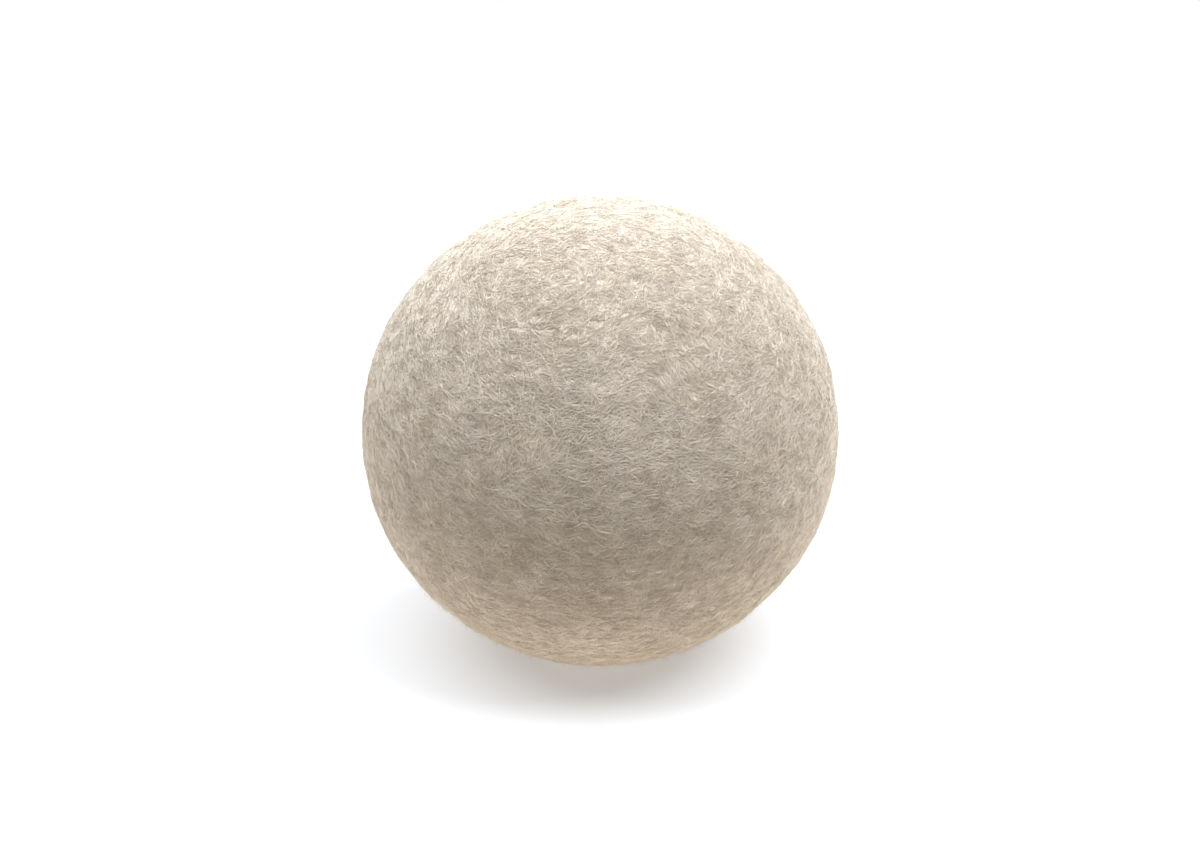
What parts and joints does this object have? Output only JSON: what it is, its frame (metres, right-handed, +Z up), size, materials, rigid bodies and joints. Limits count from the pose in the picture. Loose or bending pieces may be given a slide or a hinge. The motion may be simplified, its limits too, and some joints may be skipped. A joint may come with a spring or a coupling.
{
  "type": "wool dryer ball",
  "caption": "Solid ball of undyed wool for tumble drying: a rolled wool core, wool strips wound over it in crossing directions, and a felted wool cover with a small flat to rest on.",
  "frame": {"origin": "centre of the small flat that the ball rests on, at the bottom of the ball", "axes": "+Z up from the resting flat through the middle of the ball; X and Y are the two equal widths, and +X is the axis that the core strip is rolled about"},
  "size_m": [0.07, 0.07, 0.0683],
  "materials": {
    "cover_felt": "matted undyed wool, dull, with a fine fuzz",
    "wrap_wool": "carded undyed fleece, laid flat in one direction",
    "core_wool": "coarse undyed fleece, tightly rolled"
  },
  "bodies": {
    "root": {"felt_cover": "cover_felt", "wool_wrap_8": "wrap_wool", "wool_wrap_7": "wrap_wool", "wool_wrap_6": "wrap_wool", "wool_wrap_5": "wrap_wool", "wool_wrap_4": "wrap_wool", "wool_wrap_3": "wrap_wool", "wool_wrap_2": "wrap_wool", "wool_wrap_1": "wrap_wool", "rolled_core": "core_wool"}
  },
  "joints": []
}
